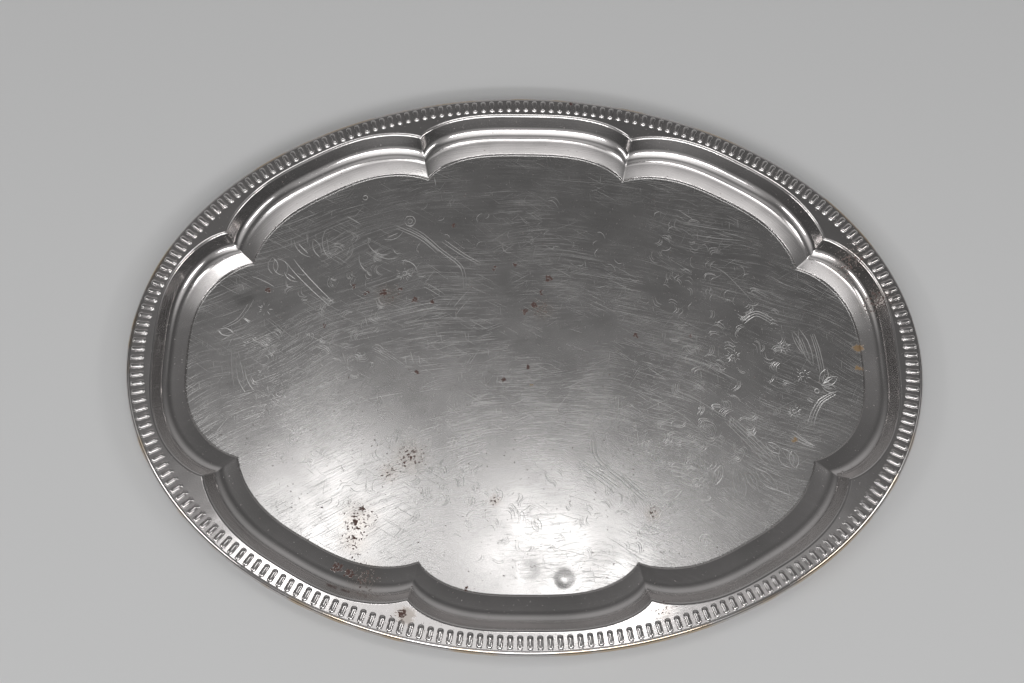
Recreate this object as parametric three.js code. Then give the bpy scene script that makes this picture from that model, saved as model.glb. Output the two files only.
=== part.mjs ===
// Oval serving tray: one pressed, plated steel sheet with a flat floor, a well of eight lobes and a flat
// flange. The flange carries a ring of embossed beads; its edge is curled under round a stiffening wire.
// Millimetres, +Z up, length along X. The tray stands on z = 0 with its centre on the Z axis.
import * as THREE from "three";

// Driving dimensions
const trayLength = 400;
const trayWidth = 300;
const sheet = 0.7;
const wellDepth = 11.6;
const floorTop = sheet;
const flangeTop = floorTop + wellDepth;

// The curled edge and the wire inside it
const curlRadius = 2.4;
const curlEndAngle = -160;
const curlSteps = 6;
const wireRadius = 1.2;
const wireSides = 8;
const wireButtGap = 0.5;

// The beads, measured inwards from the outer edge
const beadCount = 232;
const beadOuterEnd = 2.5;
const beadInnerEnd = 9.3;
const beadWidth = 2.8;
const beadHeight = 0.9;
const beadNose = 1.1;
const beadBandInner = 9.5;

// Each outline of the well springs from eight cusps, mirrored from two in the first quadrant.
// A lobe's arch rises above the line between its cusps by (1 - |u|^fullness)^(1 / roundness), u = -1 to 1.
const rimOutline = {
  sideCusp: [56.8, 123.8],
  endCusp: [156.2, 65],
  sideRise: 14.6,
  cornerRise: 17.7,
  endRise: 30.8,
};
const floorOutline = {
  sideCusp: [52.5, 103.6],
  endCusp: [142.2, 52.2],
  sideRise: 16,
  cornerRise: 17.8,
  endRise: 29.5,
};
const sideLobe = { rise: "sideRise", fullness: 3.1, roundness: 1.3, steps: 10 };
const cornerLobe = { rise: "cornerRise", fullness: 2.75, roundness: 1.15, steps: 11 };
const endLobe = { rise: "endRise", fullness: 2.9, roundness: 1.4, steps: 12 };
const lobes = [endLobe, cornerLobe, sideLobe, cornerLobe, endLobe, cornerLobe, sideLobe, cornerLobe];

// The wall's section: a shoulder, a steep straight, a cove, a gentle apron and a small step to the floor
const wallRun = 18;
const shoulderStart = -0.9;
const shoulderRadius = 2;
const coveRadius = 9.5;
const steepest = 57;
const apronSlope = 7;
const footStep = [[16.6, 1.15], [17.5, 0.25], [wallRun, 0]];

const radians = THREE.MathUtils.degToRad;
const lerp = THREE.MathUtils.lerp;

// A closed surface under construction: points are added once and shared by the triangles round them.
class Surface {
  positions = [];
  triangles = [];

  point(x, y, z) {
    this.positions.push(x, y, z);
    return this.positions.length / 3 - 1;
  }

  ring(plan, z) {
    return plan.map(([x, y]) => this.point(x, y, z));
  }

  at(index) {
    return new THREE.Vector3().fromArray(this.positions, index * 3);
  }

  face(a, b, c) {
    this.triangles.push(a, b, c);
  }

  quad(a, b, c, d) {
    this.face(a, b, c);
    this.face(a, c, d);
  }

  // Faces between two closed rings of equal length.
  band(from, to) {
    from.forEach((start, i) => {
      const next = (i + 1) % from.length;
      this.quad(start, from[next], to[next], to[i]);
    });
  }

  // Faces between two closed rings of different lengths, always closing the shorter diagonal next.
  stitch(from, other) {
    const reach = other.map((index) => this.at(index).distanceTo(this.at(from[0])));
    const first = reach.indexOf(Math.min(...reach));
    const to = [...other.slice(first), ...other.slice(0, first)];
    let i = 0;
    let j = 0;
    while (i < from.length || j < to.length) {
      const a = from[i % from.length];
      const b = to[j % to.length];
      const nextA = from[(i + 1) % from.length];
      const nextB = to[(j + 1) % to.length];
      const stepA = this.at(nextA).distanceTo(this.at(b));
      const stepB = this.at(nextB).distanceTo(this.at(a));
      if (j === to.length || (i < from.length && stepA < stepB)) {
        this.face(a, nextA, b);
        i += 1;
      } else {
        this.face(a, nextB, b);
        j += 1;
      }
    }
  }

  // A flat cap across a closed ring, facing up or down.
  cap(ring, facesUp) {
    const outline = ring.map((index) => {
      const { x, y } = this.at(index);
      return new THREE.Vector2(x, y);
    });
    for (const [a, b, c] of THREE.ShapeUtils.triangulateShape(outline, [])) {
      if (facesUp) this.face(ring[a], ring[b], ring[c]);
      else this.face(ring[a], ring[c], ring[b]);
    }
  }

  geometry() {
    const made = new THREE.BufferGeometry();
    made.setAttribute("position", new THREE.Float32BufferAttribute(this.positions, 3));
    made.setIndex(this.triangles);
    made.computeVertexNormals();
    return made;
  }
}

// A plan point on the outer oval, moved inwards by inset and sideways by aside.
function ovalPoint(angle, inset, aside = 0) {
  const halfLength = trayLength / 2;
  const halfWidth = trayWidth / 2;
  const outward = new THREE.Vector2(Math.cos(angle) / halfLength, Math.sin(angle) / halfWidth).normalize();
  return [
    halfLength * Math.cos(angle) - outward.x * inset - outward.y * aside,
    halfWidth * Math.sin(angle) - outward.y * inset + outward.x * aside,
  ];
}

// Angles that split the bead ring into equal lengths, starting half a pitch before the +X axis.
function evenAngles(count) {
  const samples = 20000;
  const lengths = [0];
  let before = ovalPoint(0, beadOuterEnd);
  for (let i = 1; i <= samples; i += 1) {
    const here = ovalPoint((i / samples) * 2 * Math.PI, beadOuterEnd);
    lengths.push(lengths[i - 1] + Math.hypot(here[0] - before[0], here[1] - before[1]));
    before = here;
  }
  const pitch = lengths[samples] / count;
  const angles = [];
  let sample = 0;
  for (let k = 0; k < count; k += 1) {
    while (lengths[sample] < (k + 0.5) * pitch) sample += 1;
    angles.push((sample / samples) * 2 * Math.PI);
  }
  return angles;
}

// The eight cusps of an outline, anticlockwise from the lower one on the +X side.
function cuspsOf({ sideCusp: [sx, sy], endCusp: [ex, ey] }) {
  return [[ex, -ey], [ex, ey], [sx, sy], [-sx, sy], [-ex, ey], [-ex, -ey], [-sx, -sy], [sx, -sy]];
}

// The outline's points in order; each lobe gives its first cusp and the points up to its second.
function outlinePoints(outline) {
  const cusps = cuspsOf(outline);
  const points = [];
  lobes.forEach((lobe, index) => {
    const [ax, ay] = cusps[index];
    const [bx, by] = cusps[(index + 1) % cusps.length];
    const outward = new THREE.Vector2(by - ay, ax - bx).normalize();
    for (let step = 0; step < lobe.steps; step += 1) {
      const v = (2 * step) / lobe.steps - 1;
      const u = Math.sin(v * 1.2) / Math.sin(1.2);
      const arch = (1 - Math.abs(u) ** lobe.fullness) ** (1 / lobe.roundness);
      const lift = outline[lobe.rise] * (step === 0 ? 0 : arch);
      const share = (u + 1) / 2;
      points.push([lerp(ax, bx, share) + outward.x * lift, lerp(ay, by, share) + outward.y * lift]);
    }
  });
  return points;
}

// The top of the wall's section as [run inwards, height] from the flange to the floor.
function wallSection() {
  const steep = radians(steepest);
  const apron = radians(apronSlope);
  const section = [0, 19, 38, steepest].map(radians).map((turn) => [
    shoulderStart + shoulderRadius * Math.sin(turn),
    flangeTop - shoulderRadius * (1 - Math.cos(turn)),
  ]);

  // The cove is an arc tangent to the steep straight above it and to the apron below it.
  const [crestRun, crestHeight] = [footStep[0][0], floorTop + footStep[0][1]];
  const [topRun, topHeight] = section.at(-1);
  const coveRun = coveRadius * (Math.sin(steep) - Math.sin(apron));
  const coveDrop = coveRadius * (Math.cos(apron) - Math.cos(steep));
  const spareRun = crestRun - topRun - coveRun;
  const spareDrop = topHeight - crestHeight - coveDrop;
  const steepRun = (spareDrop - spareRun * Math.tan(apron)) / (Math.tan(steep) - Math.tan(apron));
  const coveTop = [topRun + steepRun, topHeight - steepRun * Math.tan(steep)];
  for (const slope of [steepest, 43, 30, 18, apronSlope]) {
    const turn = radians(slope);
    section.push([
      coveTop[0] + coveRadius * (Math.sin(steep) - Math.sin(turn)),
      coveTop[1] - coveRadius * (Math.cos(turn) - Math.cos(steep)),
    ]);
  }
  for (const [run, height] of footStep) section.push([run, floorTop + height]);
  return section;
}

// The same section moved down and outwards by the sheet's thickness, mitred at its corners.
function undersideOf(section) {
  const directions = section.slice(1).map(([run, height], i) => {
    return new THREE.Vector2(run - section[i][0], height - section[i][1]).normalize();
  });
  directions.unshift(new THREE.Vector2(1, 0));
  directions.push(new THREE.Vector2(1, 0));
  return section.map(([run, height], i) => {
    const along = directions[i].clone().add(directions[i + 1]).normalize();
    const reach = sheet / along.dot(directions[i]);
    return [run + along.y * reach, height - along.x * reach];
  });
}

// One ring of the wall: every point lies on the line from the rim outline to the floor outline.
function wallPlan(rim, floor, run) {
  const share = run / wallRun;
  return rim.map(([x, y], i) => [lerp(x, floor[i][0], share), lerp(y, floor[i][1], share)]);
}

// One cell of the bead ring: a bead with a rounded plan and a ridge, and the flat flange round it.
function addBead(surface, angle, outerStart, outerEnd, innerStart, innerEnd) {
  const half = beadWidth / 2;
  const spot = (inset, aside, lift) => {
    const [x, y] = ovalPoint(angle, inset, aside);
    return surface.point(x, y, flangeTop + lift);
  };
  const outerTip = spot(beadOuterEnd, 0, 0);
  const innerTip = spot(beadInnerEnd, 0, 0);
  const startOuter = spot(beadOuterEnd + beadNose, -half, 0);
  const startInner = spot(beadInnerEnd - beadNose, -half, 0);
  const endOuter = spot(beadOuterEnd + beadNose, half, 0);
  const endInner = spot(beadInnerEnd - beadNose, half, 0);
  const ridgeOuter = spot(beadOuterEnd + 1.3 * beadNose, 0, beadHeight);
  const ridgeInner = spot(beadInnerEnd - 1.3 * beadNose, 0, beadHeight);

  surface.face(outerTip, endOuter, ridgeOuter);
  surface.face(outerTip, ridgeOuter, startOuter);
  surface.quad(endOuter, endInner, ridgeInner, ridgeOuter);
  surface.quad(startInner, startOuter, ridgeOuter, ridgeInner);
  surface.face(innerTip, ridgeInner, endInner);
  surface.face(innerTip, startInner, ridgeInner);

  surface.face(outerStart, outerEnd, outerTip);
  surface.face(outerTip, outerEnd, endOuter);
  surface.quad(outerEnd, innerEnd, endInner, endOuter);
  surface.face(endInner, innerEnd, innerTip);
  surface.face(innerTip, innerEnd, innerStart);
  surface.face(innerTip, innerStart, startInner);
  surface.quad(innerStart, outerStart, startOuter, startInner);
  surface.face(outerTip, startOuter, outerStart);
}

// Ring of the curl at one angle of its section, at the given distance from the curl's centre line.
function curlRing(surface, stations, degrees, radius) {
  const turn = radians(degrees);
  const plan = stations.map((angle) => ovalPoint(angle, curlRadius - radius * Math.cos(turn)));
  return surface.ring(plan, flangeTop - curlRadius + radius * Math.sin(turn));
}

function trayBody() {
  const surface = new Surface();
  const rim = outlinePoints(rimOutline);
  const floor = outlinePoints(floorOutline);
  const section = wallSection();

  // Top of the wall and of the floor, from the flange inwards
  const topRings = section.map(([run, height]) => surface.ring(wallPlan(rim, floor, run), height));
  for (let i = 1; i < topRings.length; i += 1) surface.band(topRings[i - 1], topRings[i]);
  surface.cap(topRings.at(-1), true);

  // Bead ring and the flat strip between it and the wall
  const edges = evenAngles(beadCount);
  const outerRing = surface.ring(edges.map((angle) => ovalPoint(angle, curlRadius)), flangeTop);
  const innerRing = surface.ring(edges.map((angle) => ovalPoint(angle, beadBandInner)), flangeTop);
  edges.forEach((edge, i) => {
    const next = (i + 1) % beadCount;
    const nextEdge = next ? edges[next] : edges[0] + 2 * Math.PI;
    addBead(surface, (edge + nextEdge) / 2, outerRing[i], outerRing[next], innerRing[i], innerRing[next]);
  });
  surface.stitch(innerRing, topRings[0]);

  // The edge curled under: out over its outside, round the lip, and back along its inside
  const stations = edges.filter((_, i) => i % 2 === 0);
  let ring = outerRing;
  for (let i = 1; i <= curlSteps; i += 1) {
    const next = curlRing(surface, stations, lerp(90, curlEndAngle, i / curlSteps), curlRadius);
    surface.stitch(next, ring);
    ring = next;
  }
  for (let i = curlSteps; i >= 0; i -= 1) {
    const next = curlRing(surface, stations, lerp(90, curlEndAngle, i / curlSteps), curlRadius - sheet);
    surface.band(next, ring);
    ring = next;
  }

  // Underside of the flange, the wall and the floor
  const bottomRings = undersideOf(section).map(([run, height]) => {
    return surface.ring(wallPlan(rim, floor, run), height);
  });
  surface.stitch(bottomRings[0], ring);
  for (let i = 1; i < bottomRings.length; i += 1) surface.band(bottomRings[i], bottomRings[i - 1]);
  surface.cap(bottomRings.at(-1), false);
  return surface.geometry();
}

// The wire follows the curl's centre line and leaves a butt gap where its two ends meet.
function edgeWire() {
  const surface = new Surface();
  const stations = evenAngles(beadCount).filter((_, i) => i % 2 === 0);
  const gapShare = wireButtGap / 2 / Math.hypot(
    ...ovalPoint(stations[1], curlRadius).map((value, i) => value - ovalPoint(stations[0], curlRadius)[i]),
  );
  const section = Array.from({ length: wireSides }, (_, i) => (i / wireSides) * 2 * Math.PI);
  const centre = flangeTop - curlRadius;
  const station = (angle) => section.map((turn) => {
    const [x, y] = ovalPoint(angle, curlRadius - wireRadius * Math.cos(turn));
    return [x, y, centre + wireRadius * Math.sin(turn)];
  });
  const mix = (a, b, share) => a.map((point, i) => point.map((value, k) => lerp(value, b[i][k], share)));
  const loop = stations.map(station);
  const start = mix(loop[0], loop[1], gapShare);
  const end = mix(loop[0], loop.at(-1), gapShare);
  const rings = [start, ...loop.slice(1), end].map((points) => points.map((p) => surface.point(...p)));
  for (let i = 1; i < rings.length; i += 1) surface.band(rings[i], rings[i - 1]);
  for (let i = 2; i < wireSides; i += 1) {
    surface.face(rings[0][0], rings[0][i - 1], rings[0][i]);
    surface.face(rings.at(-1)[0], rings.at(-1)[i], rings.at(-1)[i - 1]);
  }
  return surface.geometry();
}

// Bright plate over pressed steel
function platedSheet() {
  return new THREE.MeshStandardMaterial({ color: 0xc9c5c0, roughness: 0.22, metalness: 1 });
}

// Plain drawn steel wire
function drawnSteel() {
  return new THREE.MeshStandardMaterial({ color: 0x8a8683, roughness: 0.5, metalness: 1 });
}

function named(name, geometry, material) {
  const mesh = new THREE.Mesh(geometry, material);
  mesh.name = name;
  return mesh;
}

const tray = new THREE.Group();
tray.name = "serving_tray";
tray.add(named("tray_body", trayBody(), platedSheet()));
tray.add(named("edge_wire", edgeWire(), drawnSteel()));

export default tray;
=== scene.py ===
import math
import random

import bpy
import numpy as np
from mathutils import Matrix, Vector
from mathutils.geometry import delaunay_2d_cdt


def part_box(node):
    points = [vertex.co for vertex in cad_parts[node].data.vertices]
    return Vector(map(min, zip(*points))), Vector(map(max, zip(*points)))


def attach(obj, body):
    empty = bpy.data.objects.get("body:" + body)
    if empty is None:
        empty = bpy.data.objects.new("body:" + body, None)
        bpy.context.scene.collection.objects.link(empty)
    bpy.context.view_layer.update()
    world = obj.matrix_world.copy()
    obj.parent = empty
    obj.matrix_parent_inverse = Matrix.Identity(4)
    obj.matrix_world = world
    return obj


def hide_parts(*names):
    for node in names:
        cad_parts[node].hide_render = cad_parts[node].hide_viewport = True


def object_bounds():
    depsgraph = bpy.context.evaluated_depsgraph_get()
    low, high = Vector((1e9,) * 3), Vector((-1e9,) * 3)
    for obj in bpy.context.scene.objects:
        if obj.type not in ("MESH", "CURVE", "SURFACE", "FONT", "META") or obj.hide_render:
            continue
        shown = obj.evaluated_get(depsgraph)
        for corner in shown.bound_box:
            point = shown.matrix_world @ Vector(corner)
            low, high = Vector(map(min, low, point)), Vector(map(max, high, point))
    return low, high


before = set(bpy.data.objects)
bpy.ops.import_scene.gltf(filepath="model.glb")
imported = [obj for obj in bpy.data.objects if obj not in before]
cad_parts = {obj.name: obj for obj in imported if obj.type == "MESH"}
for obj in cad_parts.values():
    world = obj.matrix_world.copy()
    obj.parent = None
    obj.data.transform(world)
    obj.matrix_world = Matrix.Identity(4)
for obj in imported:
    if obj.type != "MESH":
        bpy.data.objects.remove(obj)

# The tray is drawn in millimetres and scaled to metres when its mesh is made.
MM = 0.001

# ---------------------------------------------------------------- sizes

cad_low, cad_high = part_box("tray_body")
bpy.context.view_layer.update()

HALF_LENGTH = round((cad_high.x - cad_low.x) / 2 / MM)
HALF_WIDTH = round((cad_high.y - cad_low.y) / 2 / MM)
SHEET = 0.7
BEAD_HEIGHT = 0.9
FLOOR_TOP = cad_low.z / MM + SHEET
FLANGE_TOP = cad_high.z / MM - BEAD_HEIGHT

CURL_RADIUS = 2.4
CURL_END = -160
CURL_STEPS = 14
WIRE_RADIUS = 1.2
WIRE_SIDES = 16
WIRE_GAP = 0.5

BEADS = 232
BEAD_OUTER = 2.5
BEAD_INNER = 9.3
BEAD_HALF_WIDTH = 1.4
BEAD_CORNER = 1.05
BEAD_BAND_INNER = 9.5
# How a bead's height grows from its outline: (inset of its sides, inset of its ends, share of its height)
BEAD_SECTION = [
    (-0.12, -0.15, 0), (0, 0, 0.06), (0.14, 0.18, 0.32), (0.34, 0.46, 0.6),
    (0.6, 0.85, 0.82), (0.92, 1.4, 0.95), (1.28, 2.2, 1),
]
BEAD_HOLLOW = [(0.05, 0.1, 0), (0.3, 0.4, 0.15), (0.7, 1.0, 0.78), (1.2, 2.0, 0.95)]

# The wall: a shoulder, a steep straight, a cove, a gentle apron and a small step down to the floor
WALL_RUN = 18
SHOULDER_START = -0.9
SHOULDER_RADIUS = 2
COVE_RADIUS = 9.5
STEEPEST = 57
APRON_SLOPE = 7
FOOT_SLOPE = 60
FOOT_HEIGHT = 1.15
FOOT_CREST_RADIUS = 0.6
FOOT_HOLLOW_RADIUS = 0.5

# The cusps and the rise of each kind of lobe, for the well's upper and lower outlines
RIM = {"side_cusp": (56.8, 123.8), "end_cusp": (156.2, 65), "side": 14.6, "corner": 17.7, "end": 30.8}
FLOOR = {"side_cusp": (52.5, 103.6), "end_cusp": (142.2, 52.2), "side": 16, "corner": 17.8, "end": 29.5}
# kind, fullness, roundness, steps
SIDE_LOBE = ("side", 3.1, 1.3, 52)
CORNER_LOBE = ("corner", 2.75, 1.15, 58)
END_LOBE = ("end", 2.9, 1.4, 60)
LOBES = [END_LOBE, CORNER_LOBE, SIDE_LOBE, CORNER_LOBE] * 2
CUSP_SOFTNESS = 0.45

# The engraving: V-shaped cuts in the floor, clear of its edge, and tufts of short strokes round the wreath.
# Within TUFTS_WORN_WITHIN of the tray's middle line most tufts are rubbed away.
CUT_HALF_WIDTH = 0.23
CUT_STEEPNESS = 0.45
CUT_STEP = 1.6
FLOOR_MARGIN = 2.5
SCORE_HALF_WIDTH = 0.13
ENGRAVING_SEED = 7
TUFTS = 480
TUFT_GAP = 0.85
TUFT_WIDTH_SHARE = 0.62
TUFTS_WORN_WITHIN = 70

# Dents in the floor: x, y, radius, depth
DENTS = [(17, -112, 6.2, 0.36), (0, -108, 6.5, 0.2), (-147, 36, 7, 0.2)]
DENT_RINGS = 7
DENT_SIDES = 24

# Floor points closer together than this are one point, and a dent less deep than this is no dent
MERGED_WITHIN = 1e-4
LEAST_DENT = 1e-6


# ---------------------------------------------------------------- mesh building

class Sheet:
    """A mesh under construction, in millimetres."""

    def __init__(self):
        self.points = []
        self.faces = []
        self.flat_faces = set()

    def add(self, points):
        first = len(self.points)
        self.points.extend(tuple(map(float, p)) for p in points)
        return list(range(first, len(self.points)))

    def ring(self, plan, height):
        return self.add([(x, y, height) for x, y in plan])

    def band(self, start, end):
        """Quads between two closed rings of the same length."""
        count = len(start)
        for i in range(count):
            j = (i + 1) % count
            self.faces.append((start[i], start[j], end[j], end[i]))

    def stitch(self, start, other, flat=False):
        """Triangles between two closed rings of different lengths, the shorter diagonal first."""
        at = self.points
        before = len(self.faces)
        first = min(range(len(other)), key=lambda k: math.dist(at[other[k]], at[start[0]]))
        end = other[first:] + other[:first]
        i = j = 0
        while i < len(start) or j < len(end):
            a, next_a = start[i % len(start)], start[(i + 1) % len(start)]
            b, next_b = end[j % len(end)], end[(j + 1) % len(end)]
            nearer = math.dist(at[next_a], at[b]) < math.dist(at[next_b], at[a])
            if j == len(end) or (i < len(start) and nearer):
                self.faces.append((a, next_a, b))
                i += 1
            else:
                self.faces.append((a, next_b, b))
                j += 1
        if flat:
            self.flat_faces.update(range(before, len(self.faces)))

    def cap(self, ring, facing_up):
        self.faces.append(tuple(ring) if facing_up else tuple(reversed(ring)))
        self.flat_faces.add(len(self.faces) - 1)

    def made(self, name, material):
        mesh = bpy.data.meshes.new(name)
        scaled = [(x * MM, y * MM, z * MM) for x, y, z in self.points]
        mesh.from_pydata(scaled, [], self.faces)
        smooth = [i not in self.flat_faces for i in range(len(self.faces))]
        mesh.polygons.foreach_set("use_smooth", smooth)
        mesh.materials.append(material)
        mesh.update()
        piece = bpy.data.objects.new(name, mesh)
        bpy.context.scene.collection.objects.link(piece)
        return piece


# ---------------------------------------------------------------- the tray's curves

def oval_point(angle, inset, aside=0.0):
    """A plan point on the outer oval, moved inwards by inset and sideways by aside."""
    nx, ny = math.cos(angle) / HALF_LENGTH, math.sin(angle) / HALF_WIDTH
    size = math.hypot(nx, ny)
    nx, ny = nx / size, ny / size
    x = HALF_LENGTH * math.cos(angle) - nx * inset - ny * aside
    y = HALF_WIDTH * math.sin(angle) - ny * inset + nx * aside
    return x, y


def even_angles(count):
    """Angles that split the bead ring into equal lengths, starting half a pitch after +X."""
    dense = np.linspace(0, 2 * math.pi, 20001)
    ring = np.array([oval_point(a, BEAD_OUTER) for a in dense])
    lengths = np.concatenate([[0], np.cumsum(np.hypot(*np.diff(ring, axis=0).T))])
    return np.interp((np.arange(count) + 0.5) / count * lengths[-1], lengths, dense)


def well_outline(shape):
    """The lobed outline, its eight cusps a little rounded, as many points for every shape."""
    sx, sy = shape["side_cusp"]
    ex, ey = shape["end_cusp"]
    cusps = [(ex, -ey), (ex, ey), (sx, sy), (-sx, sy), (-ex, ey), (-ex, -ey), (-sx, -sy), (sx, -sy)]
    points = []
    for i, (kind, fullness, roundness, steps) in enumerate(LOBES):
        a, b = np.array(cusps[i]), np.array(cusps[(i + 1) % 8])
        outward = np.array([b[1] - a[1], a[0] - b[0]])
        outward /= np.linalg.norm(outward)
        v = np.arange(steps) * 2 / steps - 1
        u = np.sin(v * math.pi / 2)
        arch = np.maximum(1 - np.abs(u) ** fullness, 0) ** (1 / roundness)
        share = (u[:, None] + 1) / 2
        points.append(a + (b - a) * share + outward * (shape[kind] * arch)[:, None])
    return softened(np.vstack(points), CUSP_SOFTNESS)


def softened(points, reach):
    """Rounds a closed outline's corners with a bell-shaped average along its length."""
    step = np.hypot(*(np.roll(points, -1, 0) - points).T)
    total = step.sum()
    along = np.concatenate([[0], np.cumsum(step)[:-1]])
    share = (step + np.roll(step, 1)) / 2
    apart = np.abs(along[:, None] - along[None])
    apart = np.minimum(apart, total - apart)
    weight = np.exp(-0.5 * (apart / reach) ** 2) * share[None]
    return (weight @ points) / weight.sum(1)[:, None]


def arc(start, radius, slopes, hollow):
    """Points along an arc of a section that falls inwards, from the first slope to the last."""
    run, height = start
    sign = -1 if hollow else 1
    first = math.radians(slopes[0])
    found = []
    for slope in slopes[1:]:
        turn = math.radians(slope)
        found.append((
            run + sign * radius * (math.sin(turn) - math.sin(first)),
            height + sign * radius * (math.cos(turn) - math.cos(first)),
        ))
    return found


def wall_section():
    """The top of the wall's section as (run inwards, height), from the flange to the floor."""
    shoulder = [(SHOULDER_START, FLANGE_TOP)]
    shoulder += arc(shoulder[0], SHOULDER_RADIUS, np.linspace(0, STEEPEST, 9), hollow=False)

    crest = arc((0, 0), FOOT_CREST_RADIUS, np.linspace(APRON_SLOPE, FOOT_SLOPE, 5), hollow=False)
    hollow = arc((0, 0), FOOT_HOLLOW_RADIUS, np.linspace(FOOT_SLOPE, 0, 5), hollow=True)
    straight = FOOT_HEIGHT + crest[-1][1] + hollow[-1][1]
    foot_run = crest[-1][0] + hollow[-1][0] + straight / math.tan(math.radians(FOOT_SLOPE))
    crest_at = (WALL_RUN - foot_run, FLOOR_TOP + FOOT_HEIGHT)
    hollow_at = (WALL_RUN - hollow[-1][0], FLOOR_TOP - hollow[-1][1])

    cove = arc((0, 0), COVE_RADIUS, np.linspace(STEEPEST, APRON_SLOPE, 12), hollow=True)
    spare_run = crest_at[0] - shoulder[-1][0] - cove[-1][0]
    spare_drop = shoulder[-1][1] - crest_at[1] + cove[-1][1]
    steep, apron = math.tan(math.radians(STEEPEST)), math.tan(math.radians(APRON_SLOPE))
    steep_run = (spare_drop - spare_run * apron) / (steep - apron)
    cove_at = (shoulder[-1][0] + steep_run, shoulder[-1][1] - steep_run * steep)

    section = shoulder
    for start, curve in ((cove_at, cove), (crest_at, crest), (hollow_at, hollow)):
        section.append(start)
        section += [(start[0] + run, start[1] + height) for run, height in curve]
    return section


def underside_of(section):
    """The same section moved down and outwards by the sheet's thickness, mitred at its corners."""
    spots = np.array(section)
    ways = np.diff(spots, axis=0)
    ways /= np.linalg.norm(ways, axis=1)[:, None]
    ways = np.vstack([[1, 0], ways, [1, 0]])
    along = ways[:-1] + ways[1:]
    along /= np.linalg.norm(along, axis=1)[:, None]
    reach = SHEET / (along * ways[:-1]).sum(1)
    return np.column_stack([spots[:, 0] + along[:, 1] * reach, spots[:, 1] - along[:, 0] * reach])


# ---------------------------------------------------------------- the engraving
#
# A motif is a list of lines in its own axes. A cut is (points of its centre line, half width at each).

def placed(lines, place, heading):
    """A motif's lines moved from its own axes to a place and heading on the floor."""
    turn = math.radians(heading)
    spin = np.array([[math.cos(turn), math.sin(turn)], [-math.sin(turn), math.cos(turn)]])
    return [np.asarray(line, float) @ spin + np.asarray(place, float) for line in lines]


def curve_through(points):
    """A smooth line through a few points, with a point about every CUT_STEP."""
    knots = np.asarray(points, float)
    knots = np.vstack([2 * knots[0] - knots[1], knots, 2 * knots[-1] - knots[-2]])
    found = []
    for a, b, c, d in zip(knots, knots[1:], knots[2:], knots[3:]):
        steps = max(2, round(np.linalg.norm(c - b) / CUT_STEP))
        for t in np.arange(steps) / steps:
            bow = (2 * a - 5 * b + 4 * c - d) * t ** 2 + (3 * b - a - 3 * c + d) * t ** 3
            found.append((2 * b + (c - a) * t + bow) / 2)
    found.append(knots[-2])
    return np.array(found)


def petal(length, width, veined=True):
    """A pointed petal from the origin along +X, with its midrib."""
    side = [(0, 0), (length * 0.3, width * 0.42), (length * 0.65, width * 0.46), (length, 0)]
    lines = [side, [(x, -y) for x, y in side]]
    if veined:
        lines.append([(length * 0.15, 0), (length * 0.75, width * 0.05)])
    return lines


def circle(radius):
    turns = np.linspace(0, 2 * math.pi, 7)
    return np.column_stack([np.cos(turns), np.sin(turns)]) * radius


def daisy(size, rays):
    """A round blossom of short strokes round a small ring."""
    lines = [circle(size * 0.24)]
    for k in range(rays):
        lines += placed([[(size * 0.36, 0), (size * (0.7 + 0.3 * (k % 2)), 0)]], (0, 0), 360 * k / rays)
    return lines


def bundle(points, count, gap, last_gap):
    """Stems side by side along a bent line, from one gap between them to another."""
    middle = curve_through(points)
    ways = np.gradient(middle, axis=0)
    ways /= np.linalg.norm(ways, axis=1)[:, None]
    aside = np.column_stack([-ways[:, 1], ways[:, 0]])
    gaps = np.linspace(gap, last_gap, len(middle))[:, None]
    return [(middle + aside * gaps * (k - (count - 1) / 2))[::3] for k in range(count)]


def tuft(size, count):
    """A few short wavy strokes nested in each other."""
    wave = np.array([(0, 0), (0.3, 0.2), (0.65, 0.12), (1, -0.15)]) * size
    return [wave + np.array([0, k * TUFT_GAP]) for k in range(count)]


def lily():
    """The open flower at the tray's end, with its leaves and ribbons."""
    lines = placed([circle(1.2)], (147.5, -16), 0)
    for heading, length in ((68, 10.5), (30, 10.5), (-16, 9)):
        lines += placed(petal(length, 4.2), (150, -13), heading)
    lines += placed(petal(23, 4.6), (147, -3), 105)
    lines += placed(petal(15, 2.6), (143, 4), 112)
    lines += bundle([(151.5, -7), (150, 7), (147, 20)], 3, 1.2, 0.9)
    lines += bundle([(157, -16.5), (149, -21.5), (144.5, -29), (142, -36)], 3, 0.8, 1.7)
    lines += bundle([(142, -19.5), (147, -23)], 2, 1, 0.4)
    for place, size in (((141, -7), 5), ((135, -27), 4.2), ((106, 3), 4.4), ((133, 8), 4)):
        lines += placed(daisy(size, 14), place, 0)
    return lines


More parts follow.
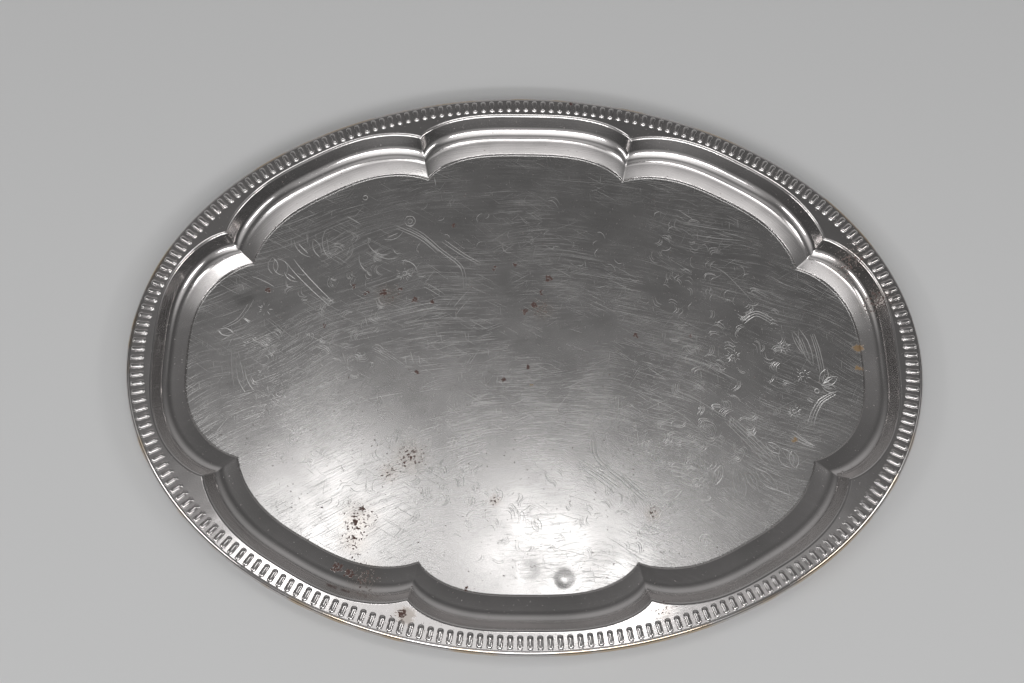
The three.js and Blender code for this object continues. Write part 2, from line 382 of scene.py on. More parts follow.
def spray():
    """The stems, leaves and petals between the lily and the middle of the tray's side."""
    lines = bundle([(100, -30), (110, -40), (119, -50), (125, -58)], 4, 1.3, 2.2)
    lines += bundle([(132, -38), (138, -42.5), (144, -45.5)], 3, 2, 0.4)
    lines += bundle([(24, -54), (34, -60), (46, -69)], 4, 1.2, 1.8)
    lines += bundle([(32, -38), (34, -52), (45, -62), (56, -72), (66, -77)], 2, 1.4, 1.4)
    lines += bundle([(46, -60), (56, -69), (70, -76)], 2, 1.1, 1.1)
    lines += bundle([(87, -77), (98, -84)], 2, 1.2, 1.2)
    lines += bundle([(112, 22), (120, 27), (129, 22)], 3, 1.6, 1.6)
    for place, heading, length, width in (
        ((126, -46), -62, 12, 7), ((132, -47), -84, 10, 5), ((119, -43), -38, 10, 4),
        ((103, -56), -80, 18, 5.5), ((108, -57), -66, 12, 4), ((113, -57), -48, 15, 5),
        ((84, -66), 150, 14, 5), ((80, -60), 168, 13, 4.5), ((88, -60), 120, 14, 5),
        ((76, -68), 205, 12, 4.5), ((92, -66), 70, 12, 4.5), ((66, -56), 140, 12, 5),
    ):
        lines += placed(petal(length, width), place, heading)
    for place, size in (((62, -79), 3), ((86, -93), 3), ((83, -64), 2.2)):
        lines += placed([circle(size), circle(size * 0.45)], place, 0)
    return lines + placed(daisy(5, 16), (64, -48), 0)


# Long scores that cross the engraving
SCORES = [
    [(48, -13), (62, -20), (78, -29), (93, -44)], [(75, -16), (86, -21), (101, -31)], [(95, -4), (107, -10)],
    [(96, 55), (104, 51), (112, 42), (119, 33)], [(46, -24), (45, -38)], [(42, -29), (41.5, -36)],
    [(48, -26), (56, -30)], [(-96, -30), (-80, -22), (-62, -18)], [(-112, -14), (-101, -6)],
]


def engraving():
    """All cuts of the wreath that wear has left, as (points, half widths)."""
    chance = random.Random(ENGRAVING_SEED)
    edge = well_outline(FLOOR)
    # Each line comes with the share of such lines that is worn away, and its share of the full cut width.
    wreath = [(line, 0.04, 1) for line in lily() + spray()]
    wreath += [(-line, 0.45, 1) for line, _, _ in wreath]
    for _ in range(TUFTS):
        turn = chance.uniform(0, 2 * math.pi)
        share = chance.uniform(0.4, 0.68)
        place = (HALF_LENGTH * share * math.cos(turn), HALF_WIDTH * share * math.sin(turn))
        strokes = tuft(chance.uniform(3.5, 8), chance.choice((3, 4, 5)))
        strokes = placed(strokes, place, chance.uniform(0, 360))
        worn = 0.2 if place[0] * place[1] < 0 else 0.6
        if abs(place[0]) < TUFTS_WORN_WITHIN:
            worn = 0.93 if place[1] > 0 else 0.35
        wreath += [(line, worn, TUFT_WIDTH_SHARE) for line in strokes]

    cuts = []
    for line, worn, share in wreath:
        points = curve_through(line) + np.array([chance.uniform(-0.3, 0.3), chance.uniform(-0.3, 0.3)])
        if chance.random() > worn and clear_of(points, edge):
            width = CUT_HALF_WIDTH * share * chance.uniform(0.7, 1.1)
            cuts.append((points, width * tapered(len(points))))
    for line in SCORES:
        points = curve_through(line)
        cuts.append((points, SCORE_HALF_WIDTH * tapered(len(points))))
    return cuts


def tapered(count):
    """Shares of a cut's full width along it: none at its two ends."""
    return np.sin(np.linspace(0, math.pi, count)).clip(0) ** 0.4


def clear_of(points, edge):
    """True if every point is inside the closed edge and at least FLOOR_MARGIN away from it."""
    apart = np.hypot(*(points[:, None] - edge[None]).transpose(2, 0, 1)).min()
    a, b = edge, np.roll(edge, -1, 0)
    x, y = points[:, :1], points[:, 1:]
    spans = (a[:, 1] > y) != (b[:, 1] > y)
    with np.errstate(divide="ignore", invalid="ignore"):
        hits = spans & (x < a[:, 0] + (y - a[:, 1]) / (b[:, 1] - a[:, 1]) * (b[:, 0] - a[:, 0]))
    return apart > FLOOR_MARGIN and bool((hits.sum(1) % 2).all())


def cut_sides(points, widths):
    """The two edges of a cut."""
    ways = np.gradient(points, axis=0)
    ways /= np.linalg.norm(ways, axis=1)[:, None]
    aside = np.column_stack([-ways[:, 1], ways[:, 0]]) * widths[:, None]
    return points + aside, points - aside


def cut_depth(places, cuts):
    """How deep the deepest cut is at each place."""
    starts = np.vstack([points[:-1] for points, _ in cuts])
    ends = np.vstack([points[1:] for points, _ in cuts])
    first = np.concatenate([widths[:-1] for _, widths in cuts])
    second = np.concatenate([widths[1:] for _, widths in cuts])
    way = ends - starts
    length = (way ** 2).sum(1)
    depth = np.zeros(len(places))
    for i, place in enumerate(places):
        share = np.clip(((place - starts) * way).sum(1) / length, 0, 1)
        apart = np.hypot(*(starts + way * share[:, None] - place).T)
        depth[i] = max(0.0, (first + (second - first) * share - apart).max())
    return depth * CUT_STEEPNESS


def dent_spots():
    """Rings of places that give each dent its round shape."""
    turns = np.arange(DENT_SIDES) / DENT_SIDES * 2 * math.pi
    spots = []
    for x, y, radius, _ in DENTS:
        spots.append(Vector((x, y)))
        for reach in np.arange(1, DENT_RINGS + 1) / DENT_RINGS * radius:
            spots += [Vector((x + reach * math.cos(turn), y + reach * math.sin(turn))) for turn in turns]
    return spots


def dent_depth(places):
    """How deep the dents are at each place."""
    depth = np.zeros(len(places))
    for x, y, radius, deepest in DENTS:
        away = np.hypot(places[:, 0] - x, places[:, 1] - y) / radius
        depth += deepest * (1 - away.clip(0, 1) ** 2) ** 2
    return depth


def add_engraved_floor(sheet, edge_ring):
    """The floor inside its edge, triangulated round the cuts and dents."""
    cuts = engraving()
    spots = [Vector(sheet.points[i][:2]) for i in edge_ring]
    lines = [(i, (i + 1) % len(edge_ring)) for i in range(len(edge_ring))]
    for points, widths in cuts:
        for line in (points, *cut_sides(points, widths)):
            first = len(spots)
            spots += [Vector(p) for p in line]
            lines += [(i, i + 1) for i in range(first, len(spots) - 1)]
    spots += dent_spots()
    places, _, faces, sources, _, _ = delaunay_2d_cdt(spots, lines, [], 1, MERGED_WITHIN)
    flat = np.array([tuple(place) for place in places])
    dented, cut = dent_depth(flat), cut_depth(flat, cuts)
    numbers = []
    for (x, y), low, source in zip(flat, dented + cut, sources):
        on_edge = [i for i in source if i < len(edge_ring)]
        numbers.append(edge_ring[on_edge[0]] if on_edge else sheet.add([(x, y, FLOOR_TOP - low)])[0])
    for face in faces:
        a, b, c = (flat[i] for i in face[:3])
        turns_left = (b[0] - a[0]) * (c[1] - a[1]) > (b[1] - a[1]) * (c[0] - a[0])
        ordered = [numbers[i] for i in face]
        if cut[face].any() or dented[face].min() < LEAST_DENT:
            sheet.flat_faces.add(len(sheet.faces))
        sheet.faces.append(tuple(ordered if turns_left else ordered[::-1]))


# ---------------------------------------------------------------- the pressed sheet

def bead_ring(sheet, angle, side_inset, end_inset, height):
    """Twelve points round a rounded rectangle, three on each corner, from the outer end's first corner."""
    middle = (BEAD_OUTER + BEAD_INNER) / 2
    half_width = BEAD_HALF_WIDTH - side_inset
    half_length = (BEAD_INNER - BEAD_OUTER) / 2 - end_inset
    across, along = max(BEAD_CORNER - side_inset, 0.06), max(BEAD_CORNER - side_inset / 2, 0.1)
    found = []
    for outward, aside in ((1, -1), (1, 1), (-1, 1), (-1, -1)):
        turns = (0, 45, 90) if outward * aside < 0 else (90, 45, 0)
        for degrees in turns:
            turn = math.radians(degrees)
            out = half_length - along + along * math.sin(turn)
            side = half_width - across + across * math.cos(turn)
            found.append((*oval_point(angle, middle - outward * out, aside * side), height))
    return sheet.add(found)


def add_bead(sheet, angle, corners, section, base, facing_up):
    """One bead and the flat metal round it, out to the four corners of its cell."""
    outer_start, outer_end, inner_end, inner_start = corners
    rings = [bead_ring(sheet, angle, side, end, base + share * BEAD_HEIGHT) for side, end, share in section]
    foot = rings[0]
    made = [
        (outer_start, outer_end, *foot[5:0:-1], foot[0]),
        (outer_end, inner_end, foot[6], foot[5]),
        (inner_end, inner_start, *foot[11:5:-1]),
        (inner_start, outer_start, foot[0], foot[11]),
    ]
    cell = len(made)
    for low_ring, high_ring in zip(rings, rings[1:]):
        for i in range(12):
            j = (i + 1) % 12
            made.append((low_ring[i], low_ring[j], high_ring[j], high_ring[i]))
    made.append(tuple(rings[-1]))
    sheet.flat_faces.update(range(len(sheet.faces), len(sheet.faces) + cell))
    sheet.faces += made if facing_up else [face[::-1] for face in made]


def add_bead_band(sheet, edges, outer, inner, section, base, facing_up):
    for i, edge in enumerate(edges):
        j = (i + 1) % BEADS
        after = edges[j] + (2 * math.pi if j == 0 else 0)
        corners = (outer[i], outer[j], inner[j], inner[i])
        add_bead(sheet, (edge + after) / 2, corners, section, base, facing_up)


def curl_ring(sheet, stations, degrees, radius):
    turn = math.radians(degrees)
    plan = [oval_point(angle, CURL_RADIUS - radius * math.cos(turn)) for angle in stations]
    return sheet.ring(plan, FLANGE_TOP - CURL_RADIUS + radius * math.sin(turn))


def tray_sheet(material):
    sheet = Sheet()
    rim, floor = well_outline(RIM), well_outline(FLOOR)
    section = wall_section()

    def wall_ring(run, height):
        return sheet.ring(rim + (floor - rim) * run / WALL_RUN, height)

    top_rings = [wall_ring(run, height) for run, height in section]
    for upper, lower in zip(top_rings, top_rings[1:]):
        sheet.band(upper, lower)
    add_engraved_floor(sheet, top_rings[-1])

    edges = even_angles(BEADS)
    outer = sheet.ring([oval_point(a, CURL_RADIUS) for a in edges], FLANGE_TOP)
    inner = sheet.ring([oval_point(a, BEAD_BAND_INNER) for a in edges], FLANGE_TOP)
    add_bead_band(sheet, edges, outer, inner, BEAD_SECTION, FLANGE_TOP, facing_up=True)
    sheet.stitch(inner, top_rings[0], flat=True)

    turns = np.linspace(90, CURL_END, CURL_STEPS + 1)
    ring = outer
    for degrees in turns[1:]:
        following = curl_ring(sheet, edges, degrees, CURL_RADIUS)
        sheet.band(following, ring)
        ring = following
    for degrees in turns[::-1]:
        following = curl_ring(sheet, edges, degrees, CURL_RADIUS - SHEET)
        sheet.band(following, ring)
        ring = following

    inner_below = sheet.ring([oval_point(a, BEAD_BAND_INNER) for a in edges], FLANGE_TOP - SHEET)
    add_bead_band(sheet, edges, ring, inner_below, BEAD_HOLLOW, FLANGE_TOP - SHEET, facing_up=False)
    bottom_rings = [wall_ring(run, height) for run, height in underside_of(section)[::2]]
    sheet.stitch(bottom_rings[0], inner_below, flat=True)
    for upper, lower in zip(bottom_rings, bottom_rings[1:]):
        sheet.band(lower, upper)
    sheet.cap(bottom_rings[-1], facing_up=False)
    return sheet.made("tray_sheet", material)


def wire_loop(material):
    """The stiffening wire, a loop whose two ends meet in a butt joint."""
    wire = Sheet()
    stations = list(even_angles(BEADS))
    pitch = math.dist(oval_point(stations[0], CURL_RADIUS), oval_point(stations[1], CURL_RADIUS))
    back = (stations[1] - stations[0]) * WIRE_GAP / 2 / pitch
    stations = [stations[0] + back, *stations[1:], stations[0] + 2 * math.pi - back]
    rings = []
    for angle in stations:
        ring = []
        for side in range(WIRE_SIDES):
            turn = side / WIRE_SIDES * 2 * math.pi
            x, y = oval_point(angle, CURL_RADIUS - WIRE_RADIUS * math.cos(turn))
            ring.append((x, y, FLANGE_TOP - CURL_RADIUS + WIRE_RADIUS * math.sin(turn)))
        rings.append(wire.add(ring))
    for near, far in zip(rings, rings[1:]):
        wire.band(far, near)
    wire.cap(rings[0], facing_up=True)
    wire.cap(rings[-1], facing_up=False)
    return wire.made("edge_wire_loop", material)


# ---------------------------------------------------------------- materials

class Material:
    """A node material under construction; places on the piece are in millimetres."""

    def __init__(self, name):
        self.made = bpy.data.materials.new(name)
        self.made.use_nodes = True
        self.tree = self.made.node_tree
        self.shader = self.tree.nodes["Principled BSDF"]
        metres = self.node("ShaderNodeTexCoord").outputs["Object"]
        self.place = self.vector("MULTIPLY", metres, (1 / MM, 1 / MM, 1 / MM))

    def node(self, kind, **settings):
        node = self.tree.nodes.new(kind)
        for name, value in settings.items():
            setattr(node, name, value)
        return node

    def put(self, socket, value):
        if isinstance(value, bpy.types.NodeSocket):
            self.tree.links.new(value, socket)
        else:
            socket.default_value = value

    def math(self, operation, *values):
        node = self.node("ShaderNodeMath", operation=operation)
        for socket, value in zip(node.inputs, values):
            self.put(socket, value)
        return node.outputs[0]

    def vector(self, operation, *values):
        node = self.node("ShaderNodeVectorMath", operation=operation)
        for socket, value in zip(node.inputs, values):
            self.put(socket, value)
        return node.outputs["Value" if operation in ("LENGTH", "DISTANCE") else "Vector"]

    def sum(self, *values):
        total = values[0]
        for value in values[1:]:
            total = self.math("ADD", total, value)
        return total

    def times(self, *values):
        total = values[0]
        for value in values[1:]:
            total = self.math("MULTIPLY", total, value)
        return total

    def most(self, *values):
        total = values[0]
        for value in values[1:]:
            total = self.math("MAXIMUM", total, value)
        return total

    def rest(self, value):
        """1 less a value."""
        return self.math("SUBTRACT", 1.0, value)

    def noise(self, place, wavelength, detail=2.0, output="Fac"):
        node = self.node("ShaderNodeTexNoise")
        self.put(node.inputs["Vector"], place)
        self.put(node.inputs["Scale"], 1 / wavelength)
        self.put(node.inputs["Detail"], detail)
        return node.outputs[output]

    def step(self, value, start, end, first=0.0, last=1.0):
        """A smooth step of a value, from first to last."""
        node = self.node("ShaderNodeMapRange", interpolation_type="SMOOTHSTEP")
        limits = {"Value": value, "From Min": start, "From Max": end, "To Min": first, "To Max": last}
        for name, given in limits.items():
            self.put(node.inputs[name], given)
        return node.outputs["Result"]

    def blend(self, share, first, second):
        """A mix of two colours."""
        node = self.node("ShaderNodeMix", data_type="RGBA")
        for socket, value in ((node.inputs[0], share), (node.inputs[6], first), (node.inputs[7], second)):
            self.put(socket, value)
        return node.outputs[2]

    def stretched(self, place, degrees, length, width):
        """The place in axes turned by degrees and divided by a length and a width."""
        node = self.node("ShaderNodeMapping", vector_type="TEXTURE")
        self.put(node.inputs["Vector"], place)
        self.put(node.inputs["Rotation"], (0, 0, math.radians(degrees)))
        self.put(node.inputs["Scale"], (length, width, 40))
        return node.outputs["Vector"]

    def spot(self, place, x, y, radius, core=0.5):
        """1 in the core of a round spot on the plan, fading out towards its radius."""
        flat = self.vector("MULTIPLY", place, (1, 1, 0))
        apart = self.vector("DISTANCE", flat, (x, y, 0))
        return self.step(apart, radius, radius * core)

    def finish(self, colour, metallic, roughness, height_mm):
        self.put(self.shader.inputs["Base Color"], colour)
        self.put(self.shader.inputs["Metallic"], metallic)
        self.put(self.shader.inputs["Roughness"], roughness)
        bump = self.node("ShaderNodeBump")
        self.put(bump.inputs["Distance"], MM)
        self.put(bump.inputs["Height"], height_mm)
        self.put(self.shader.inputs["Normal"], bump.outputs["Normal"])
        return self.made


SILVER = (0.70, 0.67, 0.662, 1)
DULL_SILVER = (0.56, 0.545, 0.535, 1)
WORN_SILVER = (0.56, 0.547, 0.538, 1)
# Bare metal in the scratches. In the engraved cuts the same colour is a painted highlight for the light the
# cuts catch.
BARE_METAL_CUT_HIGHLIGHT = (0.80, 0.79, 0.78, 1)
BRASS = (0.62, 0.47, 0.30, 1)
RUST = (0.095, 0.042, 0.032, 1)
PALE_BLOOM = (0.80, 0.72, 0.66, 1)
OCHRE = (0.34, 0.19, 0.05, 1)
WIRE_GREY = (0.45, 0.44, 0.43, 1)
WIRE_DARK_GREY = (0.3, 0.29, 0.28, 1)

# Marks on the tray: x, y, radius
RUST_SPOTS = [
    (-74, 37, 2.3), (-58, 33, 1.8), (-90, 40, 1.3), (12, 46, 2.2), (4, 31, 1.9), (-1, 27, 1.7),
    (-6, 54, 1.2), (-17, 52, 1.1), (56, 14, 1.4), (85, 14, 1.4), (-56, -7, 1.5), (1, -4, 1.3),
    (-12, -11, 1.2), (-39, 77, 1.1), (-80, -78, 1.6), (-84, -85, 1.6), (-30, -117, 1.4),
    (-59, -131, 2.2), (25, 146, 1.6), (-91, -107, 3), (-66, 39, 1.2), (-83, 37, 1.2), (-49, 32, 1.2),
    (-134, 38, 1.7), (8, 38, 1.4), (-104, 18, 1.2), (-85, -110, 2.6),
]
STAINS = [
    (-58, -52, 13), (-68, -60, 8), (8, 28, 9), (61, -80, 6), (-82, -84, 14), (-84, -94, 11),
    (-78, -112, 13), (62, -129, 8), (-72, 36, 10), (170, 54, 15), (182, 32, 13), (-16, -74, 5),
    (-60, -131, 5),
]
OCHRE_SPOTS = [(134, -42, 1.6), (171, 8, 3), (170, -3, 1.8), (2, -14, 1)]
BLOOMS = [(-57, -131.5, 5)]

# Scratches in wide arcs, as a wiping hand leaves them: centre of the arcs and their usual radius
WIPE_CENTRE = (5, -270, 0)
WIPE_RADIUS = 290
# length, width, threshold and share of each family of arcs
ARC_SCRATCHES = [(20, 0.24, 0.59, 0.35), (10, 0.2, 0.63, 0.6), (34, 0.3, 0.67, 0.9)]
# angle, length, width, threshold and share of each straight family
STRAIGHT_SCRATCHES = [
    (-30, 26, 0.35, 0.68, 1), (24, 22, 0.35, 0.69, 0.8), (62, 24, 0.35, 0.72, 0.8), (95, 12, 0.45, 0.72, 1),
]


def plan_parts(metal, vector):
    parts = metal.node("ShaderNodeSeparateXYZ")
    metal.put(parts.inputs[0], vector)
    return parts.outputs["X"], parts.outputs["Y"], parts.outputs["Z"]


def joined(metal, *values):
    whole = metal.node("ShaderNodeCombineXYZ")
    for socket, value in zip(whole.inputs, values):
        metal.put(socket, value)
    return whole.outputs[0]


def wiped(metal, place):
    """The scratches of a worn floor, 0 to 1, and the fine brushed grain between them."""
    sway = metal.vector("SUBTRACT", metal.noise(place, 90, 1, "Color"), (0.5, 0.5, 0.5))
    bent = metal.vector("ADD", place, metal.vector("MULTIPLY", sway, (30, 30, 0)))
    x, y, _ = plan_parts(metal, metal.vector("SUBTRACT", bent, WIPE_CENTRE))
    along = metal.times(metal.math("ARCTAN2", x, y), WIPE_RADIUS)
    across = metal.math("POWER", metal.sum(metal.times(x, x), metal.times(y, y)), 0.5)
    marks = []
    for length, width, threshold, share in ARC_SCRATCHES:
        layer = threshold * 50
        arc_place = joined(metal, metal.times(along, 1 / length), metal.times(across, 1 / width), layer)
        streaks = metal.noise(arc_place, 1, 1)
        marks.append(metal.times(metal.step(streaks, threshold, threshold + 0.08), share))
    for degrees, length, width, threshold, share in STRAIGHT_SCRATCHES:
        streaks = metal.noise(metal.stretched(bent, degrees, length, width), 1, 1)
        marks.append(metal.times(metal.step(streaks, threshold, threshold + 0.06), share))
    grain_place = joined(metal, metal.times(along, 1 / 14), metal.times(across, 1 / 0.2), 3.0)
    return metal.most(*marks), metal.noise(grain_place, 1, 2)


def spun_grain(metal, oval, height):
    """Fine lines that run round the rim and the wall."""
    way_x, way_y, _ = plan_parts(metal, metal.vector("NORMALIZE", oval))
    reach = metal.vector("LENGTH", oval)
    level = metal.times(metal.sum(reach, metal.times(height, 0.006)), 420)
    return metal.noise(joined(metal, metal.times(way_x, 2.2), metal.times(way_y, 2.2), level), 1, 1)


def most_of(metal, place, marks, core=0.5):
    """The strongest of many round spots."""
    return metal.most(*(metal.spot(place, *mark, core=core) for mark in marks))


def corrosion(metal, place):
    """Rust, stains, ochre specks and pale bloom, each 0 to 1 with a frayed edge."""
    frayed = metal.vector("SUBTRACT", metal.noise(place, 1.5, 3, "Color"), (0.5, 0.5, 0.5))
    rough_place = metal.vector("ADD", place, metal.vector("MULTIPLY", frayed, (5, 5, 0)))
    stain = most_of(metal, rough_place, STAINS, core=0)
    rust_level = metal.most(most_of(metal, rough_place, RUST_SPOTS, core=0.7), metal.times(stain, 0.5))
    specks = metal.sum(metal.noise(place, 1.15, 2), metal.times(rust_level, 0.34))
    rust = metal.step(specks, 0.7, 0.79)
    return rust, stain, most_of(metal, rough_place, OCHRE_SPOTS), most_of(metal, rough_place, BLOOMS)


def cut_mask(metal, place, height):
    """1 in the engraving's cuts. The dents are as deep, and are left out."""
    below_floor = metal.step(height, FLOOR_TOP - 0.003, FLOOR_TOP - 0.03)
    above_underside = metal.step(height, FLOOR_TOP - 0.5, FLOOR_TOP - 0.2)
    dented = metal.most(*(metal.spot(place, x, y, radius, core=0.95) for x, y, radius, _ in DENTS))
    return metal.times(below_floor, above_underside, metal.rest(dented))


def plated_steel():
    """Worn bright plate: fine scratches, a spun grain on rim and wall, rust specks, a brassy edge and a
    painted highlight in the engraved cuts.
    """
    metal = Material("plated_steel")
    place = metal.place
    height = plan_parts(metal, place)[2]
    on_floor = metal.step(height, FLOOR_TOP + 1.1, FLOOR_TOP + 0.2)
    off_floor = metal.rest(on_floor)
    oval = metal.vector("MULTIPLY", place, (1 / HALF_LENGTH, 1 / HALF_WIDTH, 0))
    at_rim = metal.step(metal.vector("LENGTH", oval), 0.984, 0.994)
    edge = metal.times(at_rim, metal.step(metal.noise(place, 26, 2), 0.46, 0.6))
    rust, stain, ochre, bloom = corrosion(metal, place)

    # Scratches come and go in broad patches, and are weaker on the wall and the flange.
    scratches, brushed = wiped(metal, place)
    scratches = metal.times(scratches, metal.step(metal.noise(place, 48, 2), 0.36, 0.6, 0.25, 1))
    exposed = metal.sum(0.3, metal.times(on_floor, 0.7))
    # In the scratches this mark is real bare metal. In the engraved cuts it is a painted highlight: a
    # lighter, less metallic colour stands in for the light the cuts catch.
    worn = metal.times(exposed, metal.most(scratches, metal.times(cut_mask(metal, place, height), 0.75)))

    smudge = metal.noise(place, 33, 3)
    colour = metal.blend(metal.step(smudge, 0.4, 0.68, 0, 0.55), SILVER, DULL_SILVER)
    for share, strength, tint in (
        (on_floor, 0.75, WORN_SILVER), (worn, 0.7, BARE_METAL_CUT_HIGHLIGHT), (edge, 0.75, BRASS), (stain, 0.14, OCHRE),
        (ochre, 0.8, OCHRE), (bloom, 0.8, PALE_BLOOM), (rust, 0.94, RUST),
    ):
        colour = metal.blend(metal.times(share, strength), colour, tint)
    # Less metallic in rust, ochre, bloom and scratches. In the engraved cuts the lower metallic is part of
    # the painted highlight.
    dull = metal.most(rust, metal.times(ochre, 0.6), metal.times(bloom, 0.5), metal.times(worn, 0.42))
    metallic = metal.rest(metal.times(dull, 0.9))

    haze = metal.step(metal.noise(metal.vector("ADD", place, (0, 95, 0)), 24, 3), 0.25, 0.8)
    floor_roughness = metal.sum(
        0.13, metal.times(haze, 0.08), metal.times(brushed, 0.08), metal.times(worn, 0.2),
    )
    wall_roughness = metal.sum(0.06, metal.times(smudge, 0.1))
    rougher = metal.math("SUBTRACT", floor_roughness, wall_roughness)
    clean = metal.sum(wall_roughness, metal.times(on_floor, rougher))
    roughness = metal.sum(clean, metal.times(rust, 0.5), metal.times(ochre, 0.3), metal.times(bloom, 0.35))

    wave = metal.times(metal.math("SUBTRACT", metal.noise(place, 42, 1.5), 0.5), 0.12)
    ripple = metal.times(metal.math("SUBTRACT", metal.noise(place, 15, 1), 0.5), 0.07)
    marks = metal.sum(metal.times(scratches, -0.006), metal.times(brushed, 0.0015))
    height_mm = metal.sum(
        wave,
        metal.times(ripple, off_floor),
        metal.times(marks, metal.sum(0.15, metal.times(on_floor, 0.85))),
        metal.times(spun_grain(metal, oval, height), off_floor, 0.008),
        metal.times(rust, 0.03),
    )
    return metal.finish(colour, metallic, roughness, height_mm)


def drawn_steel():
    """Plain wire: grey, drawn along its length, with a breath of rust."""
    metal = Material("drawn_steel")
    smudge = metal.noise(metal.place, 6, 3)
    pits = metal.step(metal.noise(metal.place, 1.4, 2), 0.58, 0.7)
    grain = metal.noise(metal.vector("MULTIPLY", metal.place, (1, 1, 12)), 1.5, 2)
    colour = metal.blend(smudge, WIRE_GREY, WIRE_DARK_GREY)
    colour = metal.blend(metal.times(pits, 0.6), colour, RUST)
    roughness = metal.sum(0.38, metal.times(smudge, 0.15), metal.times(pits, 0.25))
    height_mm = metal.sum(metal.times(grain, 0.02), metal.times(pits, 0.01))
    return metal.finish(colour, metal.step(pits, 0, 1, 1, 0.3), roughness, height_mm)


# ---------------------------------------------------------------- the tray

tray = tray_sheet(plated_steel())
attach(tray, "root")
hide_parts("tray_body")

wire = wire_loop(drawn_steel())
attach(wire, "root")
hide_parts("edge_wire")


# ---------------------------------------------------------------- stage, light and camera

# Light of the room, its brightness where the camera sees it past the floor, and its glows as
# (direction, reach along x, y and z, strength)
ROOM_LIGHT = 0.07
BACKDROP = 0.3
GLOWS = [
    ((-0.1, 0, 1), (1, 1, 1), 0.12),
    ((0, 0.167, 1), (0.42, 0.195, 1), 0.8),
    ((0, -0.18, 1), (0.6, 0.26, 1), 0.34),
    ((0, -1, 1.1), (0.9, 0.45, 0.42), 1.4),
    ((0, -1, 0.5), (2.5, 1.5, 0.34), 0.3),
    ((0, 1, 0.35), (1.5, 1.4, 0.6), 0.3),
    ((-1, -0.1, 0.75), (0.4, 0.6, 0.4), 0.6),
    ((1, -0.1, 0.75), (0.4, 0.6, 0.4), 0.6),
]

# The floor is broad enough for its edge to be out of sight; the tray stands a hair above it.
STAGE_HALF_SIZE = 40.0
STAGE_GAP = 0.0002
STAGE_GREY = (0.78, 0.78, 0.78, 1)


def stage_floor():
    mesh = bpy.data.meshes.new("studio_floor")
    corners = [(STAGE_HALF_SIZE * x, STAGE_HALF_SIZE * y, 0) for x, y in ((-1, -1), (1, -1), (1, 1), (-1, 1))]
    mesh.from_pydata(corners, [], [(0, 1, 2, 3)])
    material = bpy.data.materials.new("studio_floor")
    material.use_nodes = True
    shader = material.node_tree.nodes["Principled BSDF"]
    shader.inputs["Base Color"].default_value = STAGE_GREY
    shader.inputs["Roughness"].default_value = 0.9
    mesh.materials.append(material)
    floor = bpy.data.objects.new("studio_floor", mesh)
    bpy.context.scene.collection.objects.link(floor)
    floor.location.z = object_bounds()[0].z - STAGE_GAP


def add_light(name, place, size, power):
    """A flat rectangular lamp that faces the tray."""
    data = bpy.data.lights.new(name, "AREA")
    data.shape = "RECTANGLE"
    data.size, data.size_y = size
    data.energy = power
    lamp = bpy.data.objects.new(name, data)
    lamp.location = place
    lamp.rotation_mode = "QUATERNION"
    lamp.rotation_quaternion = (-Vector(place)).to_track_quat("-Z", "Y")
    bpy.context.scene.collection.objects.link(lamp)


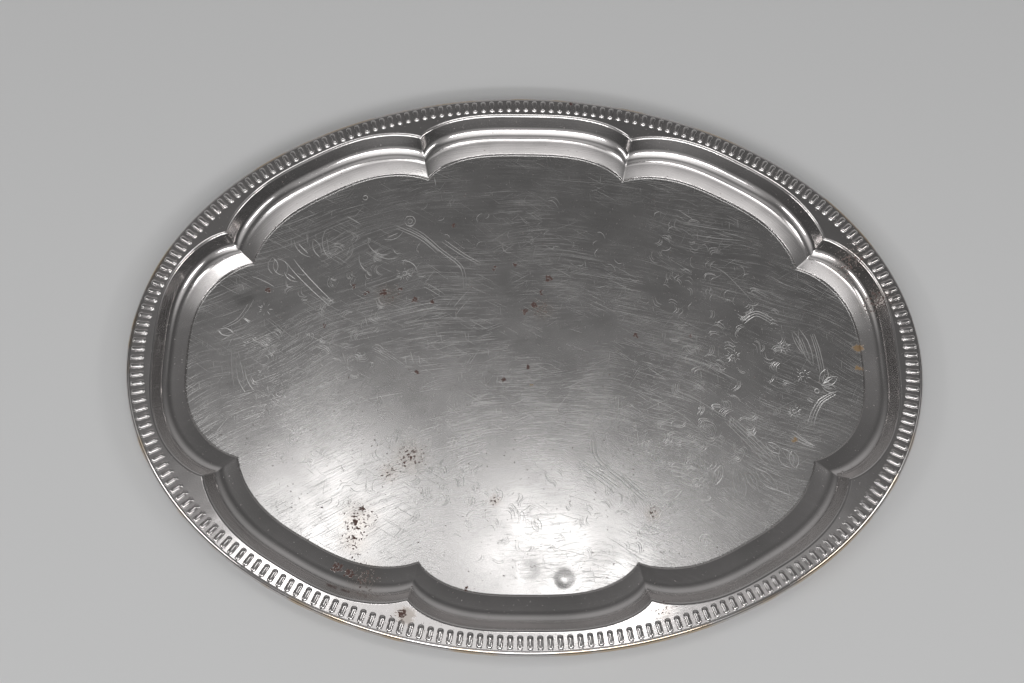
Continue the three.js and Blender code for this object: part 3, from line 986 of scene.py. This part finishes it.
def studio_world():
    """A soft room: dim low down, with broad glows overhead, high up in front and round the sides and back."""
    world = bpy.data.worlds.new("studio")
    bpy.context.scene.world = world
    world.use_nodes = True
    tree = world.node_tree
    way = tree.nodes.new("ShaderNodeTexCoord").outputs["Generated"]
    light = tree.nodes.new("ShaderNodeValue").outputs[0]
    light.default_value = ROOM_LIGHT
    for toward, reach, strength in GLOWS:
        off_centre = tree.nodes.new("ShaderNodeVectorMath")
        off_centre.operation = "SUBTRACT"
        tree.links.new(way, off_centre.inputs[0])
        off_centre.inputs[1].default_value = Vector(toward).normalized()
        share = tree.nodes.new("ShaderNodeVectorMath")
        share.operation = "DIVIDE"
        tree.links.new(off_centre.outputs[0], share.inputs[0])
        share.inputs[1].default_value = reach
        apart = tree.nodes.new("ShaderNodeVectorMath")
        apart.operation = "LENGTH"
        tree.links.new(share.outputs[0], apart.inputs[0])
        fade = tree.nodes.new("ShaderNodeMapRange")
        fade.interpolation_type = "SMOOTHERSTEP"
        tree.links.new(apart.outputs["Value"], fade.inputs["Value"])
        fade.inputs["To Min"].default_value = strength
        fade.inputs["To Max"].default_value = 0
        total = tree.nodes.new("ShaderNodeMath")
        tree.links.new(fade.outputs["Result"], total.inputs[0])
        tree.links.new(light, total.inputs[1])
        light = total.outputs[0]
    seen = tree.nodes.new("ShaderNodeMix")
    tree.links.new(tree.nodes.new("ShaderNodeLightPath").outputs["Is Camera Ray"], seen.inputs[0])
    tree.links.new(light, seen.inputs[2])
    seen.inputs[3].default_value = BACKDROP
    background = tree.nodes["Background"]
    background.inputs["Color"].default_value = (1, 1, 1, 1)
    tree.links.new(seen.outputs[0], background.inputs["Strength"])


def add_camera(aim, azimuth, elevation, roll, distance, lens):
    a, e = math.radians(azimuth), math.radians(elevation)
    back = Vector((math.sin(a) * math.cos(e), -math.cos(a) * math.cos(e), math.sin(e)))
    data = bpy.data.cameras.new("camera")
    data.lens = lens
    data.sensor_width = 36
    camera = bpy.data.objects.new("camera", data)
    camera.rotation_mode = "QUATERNION"
    camera.location = Vector(aim) + back * distance
    turn = (-back).to_track_quat("-Z", "Y")
    camera.rotation_quaternion = turn @ Matrix.Rotation(math.radians(roll), 3, "Z").to_quaternion()
    bpy.context.scene.collection.objects.link(camera)
    bpy.context.scene.camera = camera


stage_floor()
studio_world()
bpy.context.scene.view_settings.view_transform = "Standard"
add_light("overhead", (0.115, 0.155, 1.2), (0.26, 0.12), 0.34)
add_light("overhead_left", (-0.26, 0.2, 1.2), (0.26, 0.14), 0.32)
add_light("front_strip", (0, -0.9, 0.8), (1.2, 0.12), 3)
add_light("left_strip", (-0.9, -0.3, 0.75), (0.5, 0.12), 1.2)
add_light("right_strip", (0.9, -0.3, 0.75), (0.5, 0.12), 1.2)
add_camera((-0.00764, 0.01012, 0.0007), -4.08, 67.57, 4.24, 0.6442, 44.12)
